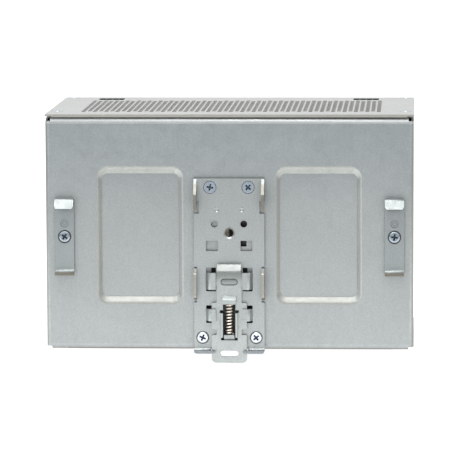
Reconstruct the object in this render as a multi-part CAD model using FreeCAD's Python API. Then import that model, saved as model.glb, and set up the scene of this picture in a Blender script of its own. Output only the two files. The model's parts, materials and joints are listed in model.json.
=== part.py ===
import FreeCAD, Part
import math
import os

os.makedirs("parts", exist_ok=True)

Vector = FreeCAD.Vector

# Directions: X runs along the rail, Y points from the rail into the case, Z is up.
# The origin is the middle of the rail on the plane the rail seats against.

# Case
BODY_W = 193.0
BODY_H = 124.0
BODY_D = 117.0
SHEET = 1.0
SHEET_BEND = 1.0
PLATE_T = 1.5
RAIL_ABOVE_BASE = 61.1
HALF_W = BODY_W / 2
REAR_Y = PLATE_T
FRONT_Y = REAR_Y + BODY_D
BASE_Z = -RAIL_ABOVE_BASE
TOP_Z = BASE_Z + BODY_H
WALL_X = HALF_W - SHEET / 2
WALL_Y = REAR_Y + SHEET / 2
TRAY_FRONT_Y = FRONT_Y - 1.5
TRAY_TOP_Z = TOP_Z - SHEET
TRAY_BASE_Z = BASE_Z + SHEET
FLANGE_INNER_X = 86.5
FLANGE_REAR_Y = 6.0
FLANGE_FRONT_Y = 116.5
REAR_FLANGE_GAP = 0.4
REAR_FLANGE_HALF_X = 93.8
REAR_BEND = 2.0
COVER_HEM_HALF_X = 93.0
COVER_HEM_H = 0.5
COVER_HEM_T = 0.7
REAR_FLANGE_Y = 14.0
TOP_RELIEF = 2.5
BASE_RELIEF = 0.6
BASE_COVER_Y = 14.4

# Pressed panels in the rear wall
PANEL_X = 46.75
PANEL_DEPTH = 2.0
PANEL_Z = -0.7
PANEL_HALF_X = 22.7
PANEL_HALF_Z = 36.6
PANEL_R = 6.0
PANEL_FLOOR_HALF_X = 20.2
PANEL_FLOOR_HALF_Z = 32.3
PANEL_FLOOR_R = 3.0
# Shares of the slope's width and of its depth, from the soft rim to the crisp floor
PANEL_SLOPE = ((0, 0), (0.12, 0.025), (0.25, 0.1), (0.4, 0.26), (0.85, 0.86), (0.94, 0.965), (1, 1))

# Ventilation and inspection windows
VENT_PITCH_X = 3.0
VENT_COLUMNS = 53
VENT_HALF_W = 1.1
VENT_HALF_L = 2.6
VENT_PITCH_Y = 7.0
VENT_FIRST_Y = 21.3
VENT_ROWS = 11
BASE_VENT_STEP = 2
WINDOW_X = 70.2
WINDOW_HALF_X = 7.0
WINDOW_Y0 = 98.9
WINDOW_Y1 = 111.0

# Screws
SHANK_R = 1.5
CLEAR_R = 1.7
COVER_HEAD_R = 2.5
COVER_SCREW_X = 92.0
COVER_SCREW_YS = (22.0, 113.5)
SIDE_HEAD_R = 2.5
SIDE_SCREW_Y = 111.0
SIDE_SCREW_ZS = (-40.0, 40.0)
RECESS_W = 0.9
RECESS_L = 3.6
RECESS_FLOOR_L = 1.9
RECESS_DEPTH = 1.5

# Rail plate
PLATE_HALF_W = 18.5
PLATE_TOP_Z = 29.5
LIP_TOP_Z = BASE_Z
LIP_INNER_X = 9.6
LIP_OUT_Y = -3.7
LIP_CORNER_R = 1.4
FINGER_X = 7.3
FINGER_Y = -2.0
PLATE_EDGE_Z = -60.0
EAR_T = 1.5
PLATE_CSK_X = 10.0
PLATE_CSK_Z = 24.8
PLATE_CSK_R = 3.3
PLATE_PAN_X = 14.05
PLATE_PAN_Z = -54.5
PLATE_PAN_R = 3.0
PLATE_PAN_H = 1.2
PLATE_PAN_SEAT_R = 3.4
PLATE_PAN_SEAT = 0.35
CENTRE_Z = 0.7
CENTRE_R = 2.1
CENTRE_COLLAR_R = 3.1
CENTRE_CHAMFER = 1.0
CENTRE_FLOOR_Y = 4.1
NUT_REAR_Y = 5.0
SMALL_HOLE_X = 7.7
SMALL_HOLE_Z = 5.5
SMALL_HOLE_R = 1.8
SQUARE_X = 9.06
SQUARE_Z = -6.0
SQUARE_HALF_X = 3.1
SQUARE_HALF_Z = 2.7
PIP_X = 6.56
PIP_Z = 13.0
PIP_R = 1.5
PIP_DEPTH = 0.6
FLAP_TIP_X = 7.0
FLAP_ROOT_X = 12.2
FLAP_MID_Y = -2.4
UPPER_FLAP = (-28.9, -20.0)
UPPER_SLOT = (-30.0, -17.5)
LOWER_FLAP = (-45.5, -39.2)
LOWER_SLOT = (-46.8, -37.5)
BAY_HALF_X = 9.5
BAY_BASE_Z = -56.6
BAY_TOP_Z = -17.5
BAY_WIDE_X = 13.2
BAY_WIDE_Z = (-47.5, -20.3)

# Latch
SLIDE_REAR_Y = -0.1
SLIDE_FACE_Y = -1.5
SLIDE_T = SLIDE_REAR_Y - SLIDE_FACE_Y
SLIDE_NECK_X = 6.55
SLIDE_WIDE_X = 9.25
SLIDE_BASE_Z = -67.7
HOOK_HALF_X = 6.25
PULL_Z = -62.9
DIMPLE_Z = -24.95
SPRING_WINDOW_X = 3.3
HOOD_HALF_X = 3.5
FLANGE_H = 1.7
SPRING_WINDOW_TOP = -35.5
SPRING_WINDOW_BASE = -55.8
SPRING_WINDOW_FOOT_X = 4.4
SPRING_WINDOW_FOOT_Z = -54.2
FLANGE_TOP_Z = -41.3
SPRING_SEAT_Z = -52.8
SPRING_MEAN_R = 1.93
SPRING_WIRE_R = 0.42
SPRING_Y = -0.15
SEAT_HALF_X = 2.75
SEAT_ROOT_Z = -56.2
SPRING_TURNS = 11

# Side brackets
BRACKET_X = 86.5
BRACKET_HALF_W = 5.0
BRACKET_FOOT_Z = -20.7
BRACKET_SCREW_Z = -1.3
BRACKET_PIP_Z = 5.6
BRACKET_TIP_Z = 13.0
BRACKET_TIP_R = 3.0
BRACKET_HEAD_R = 3.05
BRACKET_HOLE_R = 3.6

# Boards
INSULATION_Y = 5.2
INSULATION_T = 0.3
BOARD_Y = 9.0
BOARD_T = 1.6
BOARD_TOP_Y = BOARD_Y + BOARD_T
STANDOFFS = ((-86, 52), (86, 52), (-86, -52), (86, -52), (-4, 52), (-20, -53))
FRONT_BOARD_Y = 96.0
FRONT_BOARD_FACE = FRONT_BOARD_Y + BOARD_T
PANEL_REAR_Y = FRONT_Y - SHEET
CONTROL_SPACERS = ((-48, 52), (48, 52), (-48, 24), (48, 24))
OUTPUT_SPACERS = ((-30.5, -30), (30.5, -30), (-30.5, -52), (30.5, -52))
BLOCK_FRONT_Y = FRONT_Y + 2.5
BLOCK_TOP_Z = TOP_Z - 1.6
LED_XS = (-20.0, -8.0, 4.0)
LED_Z = 44.0
TRIM_X = 28.0
TRIM_Z = 44.0


# ---------- drawing helpers ----------

def place(plane, u, v, level):
    """Point at in-plane coordinates u, v and the given level along the normal."""
    if plane == "xz":
        return Vector(u, level, v)
    if plane == "xy":
        return Vector(u, v, level)
    return Vector(level, u, v)


def outline(plane, level, points, radii):
    """Closed wire through the points, each corner rounded by its own radius."""
    flat = [Vector(u, v, 0) for u, v in points]
    corners = []
    for index, corner in enumerate(flat):
        radius = radii[index]
        if radius == 0:
            corners.append((corner, None, corner))
            continue
        back = (flat[index - 1] - corner).normalize()
        ahead = (flat[(index + 1) % len(flat)] - corner).normalize()
        half_angle = back.getAngle(ahead) / 2
        setback = radius / math.tan(half_angle)
        reach = radius / math.sin(half_angle) - radius
        middle = corner + (back + ahead).normalize() * reach
        corners.append((corner + back * setback, middle, corner + ahead * setback))
    edges = []
    for index, (start, middle, end) in enumerate(corners):
        if middle:
            arc = [place(plane, p.x, p.y, level) for p in (start, middle, end)]
            edges.append(Part.Arc(*arc).toShape())
        following = corners[(index + 1) % len(corners)][0]
        if end.distanceToPoint(following) > 1e-6:
            line = [place(plane, p.x, p.y, level) for p in (end, following)]
            edges.append(Part.makeLine(*line))
    return Part.Wire(edges)


def rounded(u, v, half_u, half_v, radius=0):
    """Rectangle about a centre with equal corner radii."""
    points = [(u - half_u, v - half_v), (u + half_u, v - half_v)]
    points += [(u + half_u, v + half_v), (u - half_u, v + half_v)]
    return points, [radius] * 4


def disc(u, v, radius):
    """Circle drawn as four equal arcs."""
    return rounded(u, v, radius, radius, radius)


def polygon(points, radius=0):
    """Polygon with one radius on every corner."""
    return points, [radius] * len(points)


def folded(line, bends, thickness):
    """Outline of a folded strip from its centre line and inside bend radii."""
    path = [Vector(u, v, 0) for u, v in line]
    legs = [(b - a).normalize() for a, b in zip(path, path[1:])]
    left = []
    right = []
    for index, point in enumerate(path):
        before = legs[max(index - 1, 0)]
        after = legs[min(index, len(legs) - 1)]
        side_a = Vector(-before.y, before.x, 0)
        side_b = Vector(-after.y, after.x, 0)
        mitre = (side_a + side_b) * (thickness / 2 / (1 + side_a.dot(side_b)))
        inside = 0
        outside = 0
        if 0 < index < len(path) - 1:
            inside = bends[index - 1]
            outside = inside + thickness
        turns_left = before.cross(after).z > 0
        left.append((point + mitre, inside if turns_left else outside))
        right.append((point - mitre, outside if turns_left else inside))
    loop = left + right[::-1]
    return [(p.x, p.y) for p, r in loop], [r for p, r in loop]


def plate(plane, start, end, outer, holes=()):
    """Solid between two levels with an outer outline and through holes."""
    wires = [outline(plane, start, *shape) for shape in (outer, *holes)]
    face = Part.makeFace(wires, "Part::FaceMakerBullseye")
    return face.extrude(place(plane, 0, 0, end - start))


def box(x0, x1, y0, y1, z0, z1):
    """Rectangular block between two corners."""
    return Part.makeBox(x1 - x0, y1 - y0, z1 - z0, Vector(x0, y0, z0))


def rod(radius, start, end):
    """Round bar between two points."""
    start = Vector(*start)
    axis = Vector(*end) - start
    return Part.makeCylinder(radius, axis.Length, start, axis)


def ring(outer_r, inner_r, start, end):
    """Round tube between two points."""
    return rod(outer_r, start, end).cut(rod(inner_r, start, end))


def hex_bar(across_flats, x, z, y0, y1):
    """Hexagonal bar standing along Y."""
    corner = across_flats / math.sqrt(3)
    turns = [math.radians(60 * k) for k in range(6)]
    points = [(x + corner * math.cos(t), z + corner * math.sin(t)) for t in turns]
    return plate("xz", y0, y1, polygon(points))


def joined(shapes):
    """One solid from touching pieces."""
    return shapes[0].multiFuse(shapes[1:]).removeSplitter()


def turned(shape, position, direction):
    """Move a shape drawn along +Y to a position and direction."""
    turn = FreeCAD.Rotation(Vector(0, 1, 0), Vector(*direction))
    moved = shape.copy()
    moved.Placement = FreeCAD.Placement(Vector(*position), turn)
    return moved


def screwed_in(screw, angle, position):
    """Copy of a screw drawn along +Y, turned about its axis and moved to its place."""
    copy = screw.copy()
    copy.rotate(Vector(0, 0, 0), Vector(0, 1, 0), angle)
    copy.translate(Vector(*position))
    return copy


def cross_recess(face_y):
    """Tool for a tapered cross recess sunk from a head whose top lies at face_y."""
    thin = RECESS_W / 2
    floor = face_y + RECESS_DEPTH
    across = box(-RECESS_L, RECESS_L, face_y - 0.1, floor, -thin, thin)
    cross = across.fuse(box(-thin, thin, face_y - 0.1, floor, -RECESS_L, RECESS_L))
    start = Vector(0, face_y - 0.1, 0)
    taper = Part.makeCone(RECESS_L / 2, RECESS_FLOOR_L / 2, RECESS_DEPTH + 0.1, start, Vector(0, 1, 0))
    middle = Part.makeCone(RECESS_W, 0.2, RECESS_DEPTH + 0.4, start, Vector(0, 1, 0))
    return cross.common(taper).fuse(middle)


def flat_screw(head_r, length, shank_r=SHANK_R):
    """Countersunk screw along +Y with the top of its head at the origin."""
    depth = head_r - shank_r
    head = Part.makeCone(head_r, shank_r, depth, Vector(0, 0, 0), Vector(0, 1, 0))
    shank = rod(shank_r, (0, 0, 0), (0, length, 0))
    return head.fuse(shank).cut(cross_recess(0)).removeSplitter()


def pan_screw(head_r, head_h, length, shank_r=SHANK_R, crown=0.62):
    """Domed screw along +Y with the underside of its head at the origin; crown is the flat share."""
    profile = [(0, -head_h), (head_r * crown, -head_h), (head_r, -head_h * 0.35)]
    profile += [(head_r, 0), (shank_r, 0), (shank_r, length), (0, length)]
    points = [Vector(x, y, 0) for x, y in profile]
    edges = [Part.Arc(points[1], Vector(head_r * (0.34 * crown + 0.66), -head_h * 0.8, 0), points[2]).toShape()]
    edges += [Part.makeLine(a, b) for a, b in zip(points[2:], points[3:] + points[:1])]
    edges.append(Part.makeLine(points[0], points[1]))
    section = Part.Face(Part.Wire(Part.__sortEdges__(edges)))
    body = section.revolve(Vector(0, 0, 0), Vector(0, 1, 0), 360)
    return body.cut(cross_recess(-head_h))


def countersink(position, direction, head_r, hole_r, length):
    """Tool for a countersunk hole starting at a face."""
    depth = head_r - hole_r
    cone = Part.makeCone(head_r, hole_r, depth, Vector(0, 0, 0), Vector(0, 1, 0))
    return turned(cone.fuse(rod(hole_r, (0, 0, 0), (0, length, 0))), position, direction)


def mirrored(shape):
    """Copy on the other side of the centre plane."""
    return shape.mirror(Vector(0, 0, 0), Vector(1, 0, 0))


def both_sides(shape):
    """A shape and its mirror image."""
    return [shape, mirrored(shape)]


# ---------- sheet-metal case ----------

def tray_screw_holes():
    """Threaded and clearance holes through the tray walls."""
    tools = []
    for x in (-PLATE_CSK_X, PLATE_CSK_X):
        tools.append(countersink((x, PLATE_T, PLATE_CSK_Z), (0, 1, 0), SHANK_R + 0.35, SHANK_R, 3))
    for x in (-PLATE_PAN_X, PLATE_PAN_X):
        tools.append(rod(SHANK_R, (x, 0, PLATE_PAN_Z), (x, 4, PLATE_PAN_Z)))
    for x in (-BRACKET_X, BRACKET_X):
        tools.append(rod(SHANK_R, (x, 0, BRACKET_SCREW_Z), (x, 4, BRACKET_SCREW_Z)))
        side = math.copysign(1, x)
        for z in SIDE_SCREW_ZS:
            start = (side * HALF_W, SIDE_SCREW_Y, z)
            tools.append(countersink(start, (-side, 0, 0), SIDE_HEAD_R, CLEAR_R, 3))
    for x in (-COVER_SCREW_X, COVER_SCREW_X):
        for y in COVER_SCREW_YS:
            tools.append(rod(SHANK_R, (x, y, -70), (x, y, 70)))
    return tools


def pressed_panel(x, start_y, grow):
    """Slab between the rim and the floor of a pressed panel, its slope eased at both ends."""
    wires = []
    for across, down in PANEL_SLOPE:
        half_x = PANEL_HALF_X + grow - across * (PANEL_HALF_X - PANEL_FLOOR_HALF_X)
        half_z = PANEL_HALF_Z + grow - across * (PANEL_HALF_Z - PANEL_FLOOR_HALF_Z)
        radius = PANEL_R - across * (PANEL_R - PANEL_FLOOR_R)
        wires.append(outline("xz", start_y + down * PANEL_DEPTH, *rounded(x, PANEL_Z, half_x, half_z, radius)))
    return Part.makeLoft(wires, True, True)


def chassis_tray():
    """Rear wall, side walls and their flanges, folded from one sheet."""
    wrap_line = [(-WALL_X, TRAY_FRONT_Y), (-WALL_X, WALL_Y), (WALL_X, WALL_Y), (WALL_X, TRAY_FRONT_Y)]
    wrap = folded(wrap_line, [SHEET_BEND] * 2, SHEET)
    tray = plate("xy", TRAY_BASE_Z + BASE_RELIEF, TRAY_TOP_Z - TOP_RELIEF, wrap)
    room = REAR_BEND + SHEET
    flat = (BASE_Z + room, TRAY_TOP_Z - REAR_FLANGE_GAP - room)
    middle = box(-REAR_FLANGE_HALF_X, REAR_FLANGE_HALF_X, 0, REAR_Y + SHEET, -70, 70)
    middle = middle.cut(box(-REAR_FLANGE_HALF_X, REAR_FLANGE_HALF_X, 0, REAR_Y + SHEET, *flat))
    tray = tray.cut(middle)
    high = TRAY_TOP_Z - SHEET / 2
    low = TRAY_BASE_Z + SHEET / 2
    side_line = [(FLANGE_INNER_X, high), (WALL_X, high), (WALL_X, low), (FLANGE_INNER_X, low)]
    side = plate("xz", FLANGE_REAR_Y, FLANGE_FRONT_Y, folded(side_line, [SHEET_BEND] * 2, SHEET))
    high -= REAR_FLANGE_GAP
    low = BASE_Z + SHEET / 2
    rear_line = [(REAR_FLANGE_Y, high), (WALL_Y, high), (WALL_Y, low), (REAR_FLANGE_Y, low)]
    rear = plate("yz", -REAR_FLANGE_HALF_X, REAR_FLANGE_HALF_X, folded(rear_line, [REAR_BEND] * 2, SHEET))
    # The rear flanges stop short of the side flanges so that the corners stay open.
    rear = rear.cut(box(FLANGE_INNER_X - 1, 96, 3.5, 20, -70, 70))
    rear = rear.cut(box(-96, 1 - FLANGE_INNER_X, 3.5, 20, -70, 70))
    bumps = [pressed_panel(x, REAR_Y + SHEET, 0.3) for x in (-PANEL_X, PANEL_X)]
    tray = joined([tray, *both_sides(side), rear, *bumps])
    pits = [pressed_panel(x, REAR_Y, 0) for x in (-PANEL_X, PANEL_X)]
    tools = pits + tray_screw_holes()
    tools.append(box(-BAY_HALF_X, BAY_HALF_X, 0, 4, BAY_BASE_Z, BAY_TOP_Z))
    tools.append(box(-BAY_WIDE_X, BAY_WIDE_X, 0, 4, *BAY_WIDE_Z))
    tools.append(rod(SMALL_HOLE_R, (SMALL_HOLE_X, 0, SMALL_HOLE_Z), (SMALL_HOLE_X, 4, SMALL_HOLE_Z)))
    tools.append(rod(4.75, (0, 0, CENTRE_Z), (0, 4, CENTRE_Z)))
    tools.append(box(SQUARE_X - 3.1, SQUARE_X, 0, 4, SQUARE_Z - 0.5, SQUARE_Z + SQUARE_HALF_Z))
    return tray.cut(tools)


def vent_slots(step):
    """Staggered slots, the long and short columns alternating; step thins the pattern out."""
    slots = []
    for column in range(0, VENT_COLUMNS, step):
        x = (column - (VENT_COLUMNS - 1) / 2) * VENT_PITCH_X
        short = column // step % 2
        first_y = VENT_FIRST_Y + short * VENT_PITCH_Y / 2
        for row in range(0, VENT_ROWS - short, step):
            slots.append((x, first_y + row * VENT_PITCH_Y))
    return slots


def slot_wire(x, y, level):
    """Closed outline of one vent slot."""
    end = VENT_HALF_L - VENT_HALF_W
    right = x + VENT_HALF_W
    left = x - VENT_HALF_W
    far = Part.Arc(Vector(right, y + end, level), Vector(x, y + VENT_HALF_L, level), Vector(left, y + end, level))
    near = Part.Arc(Vector(left, y - end, level), Vector(x, y - VENT_HALF_L, level), Vector(right, y - end, level))
    down = Part.makeLine(Vector(left, y + end, level), Vector(left, y - end, level))
    up = Part.makeLine(Vector(right, y - end, level), Vector(right, y + end, level))
    return Part.Wire([far.toShape(), down, near.toShape(), up])


def cover_sheet(level, rear_y, face_z, direction, windows, vent_step):
    """Flat cover with vents and countersunk fixing holes."""
    middle_y = (rear_y + FRONT_Y) / 2
    edge = rounded(0, middle_y, HALF_W + 0.2, FRONT_Y - middle_y, 0.6)
    wires = [outline("xy", level, *shape) for shape in (edge, *windows)]
    wires += [slot_wire(x, y, level) for x, y in vent_slots(vent_step)]
    sheet = Part.makeFace(wires, "Part::FaceMakerBullseye").extrude(Vector(0, 0, SHEET))
    tools = []
    for x in (-COVER_SCREW_X, COVER_SCREW_X):
        for y in COVER_SCREW_YS:
            tools.append(countersink((x, y, face_z), direction, COVER_HEAD_R, CLEAR_R, 3))
    return sheet.cut(tools)


def top_cover():
    """Vented lid with the two inspection windows."""
    middle = (WINDOW_Y0 + WINDOW_Y1) / 2
    half = (WINDOW_Y1 - WINDOW_Y0) / 2
    windows = [rounded(x, middle, WINDOW_HALF_X, half, 0.5) for x in (-WINDOW_X, WINDOW_X)]
    sheet = cover_sheet(TRAY_TOP_Z, REAR_Y, TOP_Z, (0, 0, -1), windows, 1)
    hem_top = TRAY_TOP_Z + SHEET / 2
    hem = box(-COVER_HEM_HALF_X, COVER_HEM_HALF_X, REAR_Y, REAR_Y + COVER_HEM_T, TRAY_TOP_Z - COVER_HEM_H, hem_top)
    return joined([sheet, hem])


def bottom_cover():
    """Vented base sheet."""
    return cover_sheet(BASE_Z, BASE_COVER_Y, BASE_Z, (0, 0, 1), [], BASE_VENT_STEP)


def cover_screws():
    """Countersunk screws holding both covers to the side flanges."""
    screw = flat_screw(COVER_HEAD_R, 4.5)
    screws = []
    for x in (-COVER_SCREW_X, COVER_SCREW_X):
        for y in COVER_SCREW_YS:
            screws.append(turned(screw, (x, y, TOP_Z), (0, 0, -1)))
            screws.append(turned(screw, (x, y, BASE_Z), (0, 0, 1)))
    return Part.makeCompound(screws)


def front_panel():
    """Front sheet with side returns and openings for everything on the boards."""
    edge_x = HALF_W - SHEET - 0.1
    line_x = edge_x - SHEET / 2
    line_y = FRONT_Y - SHEET / 2
    line = [(-line_x, 106), (-line_x, line_y), (line_x, line_y), (line_x, 106)]
    shell = plate("xy", -58, 59.5, folded(line, [SHEET_BEND] * 2, SHEET))
    face = box(-edge_x + 2, edge_x - 2, PANEL_REAR_Y, FRONT_Y, BASE_Z + 1.1, TOP_Z - 1.1)
    tools = [box(-85.6, -54.8, 110, 125, 35.8, 70), box(56.3, 84.1, 110, 125, 39.8, 70)]
    tools.append(box(-26.2, 26.2, 110, 125, -56.2, -27.8))
    tools += [rod(1.6, (x, 110, LED_Z), (x, 125, LED_Z)) for x in LED_XS]
    tools.append(rod(3.2, (TRIM_X, 110, TRIM_Z), (TRIM_X, 125, TRIM_Z)))
    for side in (-1, 1):
        for z in SIDE_SCREW_ZS:
            tools.append(rod(SHANK_R, (90 * side, SIDE_SCREW_Y, z), (98 * side, SIDE_SCREW_Y, z)))
    return shell.fuse(face).removeSplitter().cut(tools)


def front_panel_screws():
    """Countersunk screws through the side walls into the front panel returns."""
    screw = flat_screw(SIDE_HEAD_R, 4.5)
    screws = []
    for side in (-1, 1):
        for z in SIDE_SCREW_ZS:
            screws.append(turned(screw, (side * HALF_W, SIDE_SCREW_Y, z), (-side, 0, 0)))
    return Part.makeCompound(screws)


# ---------- rail mounting ----------

def upper_ear():
    """Hook on the right edge of the plate that goes over the rail's upper lip."""
    points = [(0, 29), (-5.2, 21.3), (-5.2, 12.5), (-2.2, 12.5), (-1.4, 17.7), (0.2, 17.7), (0.2, 29)]
    radii = [0, 1.2, 0.8, 0.4, 0, 0, 0]
    return plate("yz", PLATE_HALF_W - EAR_T, PLATE_HALF_W, (points, radii))


def lower_ear():
    """Stiffening ear on the right edge below the rail."""
    points = [(0.2, -17.8), (0, -17.8), (-5, -20.3), (-5, -32.8), (0, -34.6), (0.2, -34.6)]
    radii = [0, 0, 1.2, 1.2, 0, 0]
    return plate("yz", PLATE_HALF_W - EAR_T, PLATE_HALF_W, (points, radii))


def slide_flap(z_range):
    """Joggled flap on the right that keeps the latch slide against the plate."""
    line = [(FLAP_ROOT_X + 1.5, PLATE_T / 2), (11.9, PLATE_T / 2), (10.2, FLAP_MID_Y), (FLAP_TIP_X, FLAP_MID_Y)]
    return plate("xy", *z_range, folded(line, [0.5, 0.5], PLATE_T))


def bottom_lip():
    """Lip turned out under the latch slide, with its retaining finger."""
    middle_z = LIP_TOP_Z - PLATE_T / 2
    line = [(PLATE_T / 2, -50), (PLATE_T / 2, middle_z), (LIP_OUT_Y, middle_z)]
    lip = plate("yz", LIP_INNER_X, PLATE_HALF_W, folded(line, [PLATE_T], PLATE_T))
    low = LIP_TOP_Z - PLATE_T
    root = LIP_INNER_X + 0.5
    face = [(LIP_INNER_X, low), (PLATE_HALF_W, low), (PLATE_HALF_W, -45), (LIP_INNER_X, -45)]
    lip = lip.common(plate("xz", LIP_OUT_Y - 1, PLATE_T + 1, (face, [0, LIP_CORNER_R, 0, 0])))
    tongue = [(root, low), (root, LIP_TOP_Z), (FINGER_X, LIP_TOP_Z - 0.35), (FINGER_X, low + 0.25)]
    finger = plate("xz", LIP_OUT_Y, FINGER_Y, (tongue, [0, 0, 0.4, 0.4]))
    return lip.fuse(finger)


def plate_holes():
    """Through outlines of the rail plate."""
    foot = SPRING_SEAT_Z - 1.8
    left = [(-SEAT_HALF_X, foot), (-SEAT_HALF_X, SEAT_ROOT_Z), (-4.8, SEAT_ROOT_Z), (-4.8, -32.6)]
    right = [(-x, z) for x, z in reversed(left)]
    holes = [polygon(left + right, 0.3)]
    for side in (-1, 1):
        holes.append(disc(side * SMALL_HOLE_X, SMALL_HOLE_Z, SMALL_HOLE_R))
        holes.append(rounded(side * SQUARE_X, SQUARE_Z, SQUARE_HALF_X, SQUARE_HALF_Z, 0.4))
        for low, high in (UPPER_SLOT, LOWER_SLOT):
            slot_x = (FLAP_TIP_X + FLAP_ROOT_X) / 2
            half_x = (FLAP_ROOT_X - FLAP_TIP_X) / 2
            holes.append(rounded(side * slot_x, (low + high) / 2, half_x, (high - low) / 2, 0.4))
    return holes


def rail_plate():
    """Stamped plate that hooks on the rail and carries the latch."""
    half = PLATE_HALF_W
    right = [(LIP_INNER_X, PLATE_EDGE_Z), (LIP_INNER_X, -58), (half, -58), (half, -35.9), (half - EAR_T, -35.9)]
    right += [(half - EAR_T, -34.9), (half, -34.9), (half, -17.8), (half - EAR_T, -17.8)]
    right += [(half - EAR_T, -17.0), (half, -17.0), (half, 11.0), (half - 2.55, 11.0), (half - 2.55, 17.7)]
    right += [(half, 17.7), (half, PLATE_TOP_Z)]
    left = [(-x, z) for x, z in reversed(right)]
    sheet = plate("xz", 0, PLATE_T, polygon(right + left), plate_holes())
    pieces = [sheet]
    for piece in (upper_ear(), lower_ear(), slide_flap(UPPER_FLAP), slide_flap(LOWER_FLAP), bottom_lip()):
        pieces += both_sides(piece)
    pieces.append(box(-SEAT_HALF_X, SEAT_HALF_X, -3.2, PLATE_T, SPRING_SEAT_Z - 1.8, SPRING_SEAT_Z))
    tools = []
    for side in (-1, 1):
        tools.append(countersink((side * PLATE_CSK_X, 0, PLATE_CSK_Z), (0, 1, 0), PLATE_CSK_R, CLEAR_R, 3))
        x = side * PLATE_PAN_X
        tools.append(rod(CLEAR_R, (x, -1, PLATE_PAN_Z), (x, 2, PLATE_PAN_Z)))
        tools.append(rod(PLATE_PAN_SEAT_R, (x, -1, PLATE_PAN_Z), (x, PLATE_PAN_SEAT, PLATE_PAN_Z)))
        tools.append(Part.makeSphere(PIP_R, Vector(side * PIP_X, PIP_DEPTH - PIP_R, PIP_Z)))
    tools.append(rod(CENTRE_COLLAR_R, (0, -1, CENTRE_Z), (0, 2, CENTRE_Z)))
    return joined(pieces).cut(tools)


def centre_nut():
    """Pressed-in blind nut behind the plate for a panel screw."""
    nut = hex_bar(8.0, 0, CENTRE_Z, PLATE_T, NUT_REAR_Y)
    nut = nut.fuse(rod(CENTRE_COLLAR_R, (0, 0, CENTRE_Z), (0, PLATE_T, CENTRE_Z))).removeSplitter()
    mouth = Vector(0, 0, CENTRE_Z)
    floor = Vector(0, CENTRE_FLOOR_Y, CENTRE_Z)
    chamfer = Part.makeCone(CENTRE_COLLAR_R - 0.05, CENTRE_R, CENTRE_CHAMFER, mouth, Vector(0, 1, 0))
    point = Part.makeCone(CENTRE_R, 0.2, 0.6, floor, Vector(0, 1, 0))
    return nut.cut([chamfer, rod(CENTRE_R, (0, 0, CENTRE_Z), (0, CENTRE_FLOOR_Y, CENTRE_Z)), point])


def plate_upper_screws():
    """Countersunk screws at the top of the rail plate."""
    screw = flat_screw(PLATE_CSK_R, 4.9)
    left = screwed_in(screw, 12, (-PLATE_CSK_X, 0, PLATE_CSK_Z))
    right = screwed_in(screw, 40, (PLATE_CSK_X, 0, PLATE_CSK_Z))
    return Part.makeCompound([left, right])


def plate_lower_screws():
    """Flat-crowned screws seated beside the latch slide."""
    screw = pan_screw(PLATE_PAN_R, PLATE_PAN_H, 4.5, crown=0.86)
    left = screwed_in(screw, 22, (-PLATE_PAN_X, PLATE_PAN_SEAT, PLATE_PAN_Z))
    right = screwed_in(screw, 50, (PLATE_PAN_X, PLATE_PAN_SEAT, PLATE_PAN_Z))
    return Part.makeCompound([left, right])


def side_bracket(x):
    """Outer strip with a foot below the rail and a rolled hook above it."""
    line = [(-3.2, BRACKET_FOOT_Z), (PLATE_T / 2, BRACKET_FOOT_Z), (PLATE_T / 2, 21.2), (-4.9, 13.45)]
    strip = plate("yz", x - BRACKET_HALF_W, x + BRACKET_HALF_W, folded(line, [2.0, 0.7], PLATE_T))
    hole = rod(BRACKET_HOLE_R, (x, -1, BRACKET_SCREW_Z), (x, 0.4, BRACKET_SCREW_Z))
    bore = rod(CLEAR_R, (x, -1, BRACKET_SCREW_Z), (x, 2, BRACKET_SCREW_Z))
    pip = rod(2.0, (x, -1, BRACKET_PIP_Z), (x, 0.35, BRACKET_PIP_Z))
    tip = rounded(x, BRACKET_TIP_Z + 7, BRACKET_HALF_W, 7, BRACKET_TIP_R)
    corners = box(x - 6, x + 6, -8, -1, 10, BRACKET_TIP_Z + 2).cut(plate("xz", -9, 0, tip))
    return strip.cut([hole, bore, pip, corners])


def side_bracket_left():
    """Bracket near the left edge."""
    return side_bracket(-BRACKET_X)


def side_bracket_right():
    """Bracket near the right edge."""
    return side_bracket(BRACKET_X)


def bracket_screws():
    """Pan-head screws seated in the brackets."""
    screw = pan_screw(BRACKET_HEAD_R, 1.0, 4.5)
    left = screwed_in(screw, 35, (-BRACKET_X, 0.4, BRACKET_SCREW_Z))
    right = screwed_in(screw, 8, (BRACKET_X, 0.4, BRACKET_SCREW_Z))
    return Part.makeCompound([left, right])


# ---------- latch ----------

def slide_outline():
    """Outline of the flat part of the latch slide."""
    neck = SLIDE_NECK_X
    wide = SLIDE_WIDE_X
    right = [(wide, SLIDE_BASE_Z), (wide, -52.9), (neck, -52.9), (neck, -49.9), (wide, -49.9)]
    right += [(wide, -35.9), (neck, -35.9), (neck, -27.1), (wide, -27.1), (wide, -20.6), (neck, -20.6)]
    right += [(neck, -20.0)]
    radii = [2.5, 0.8, 0.4, 0.4, 0.8, 0.8, 0.4, 0.4, 0.6, 0.6, 0, 0]
    left = [(-x, z) for x, z in reversed(right)]
    return right + left, radii + radii[::-1]


def latch_hook():
    """Ledge and lead-in ramp at the top of the slide."""
    points = [(-0.1, -21), (-0.1, -17.75), (-2.3, -17.75), (-1.24, -16.2)]
    points += [(-2.4, -15.4), (-5.4, -19.8), (-1.5, -19.3), (-1.5, -21)]
    radii = [0, 0.9, 0.3, 0.2, 0.2, 0.7, 0.4, 0]
    return plate("yz", -HOOK_HALF_X, HOOK_HALF_X, (points, radii))


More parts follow.
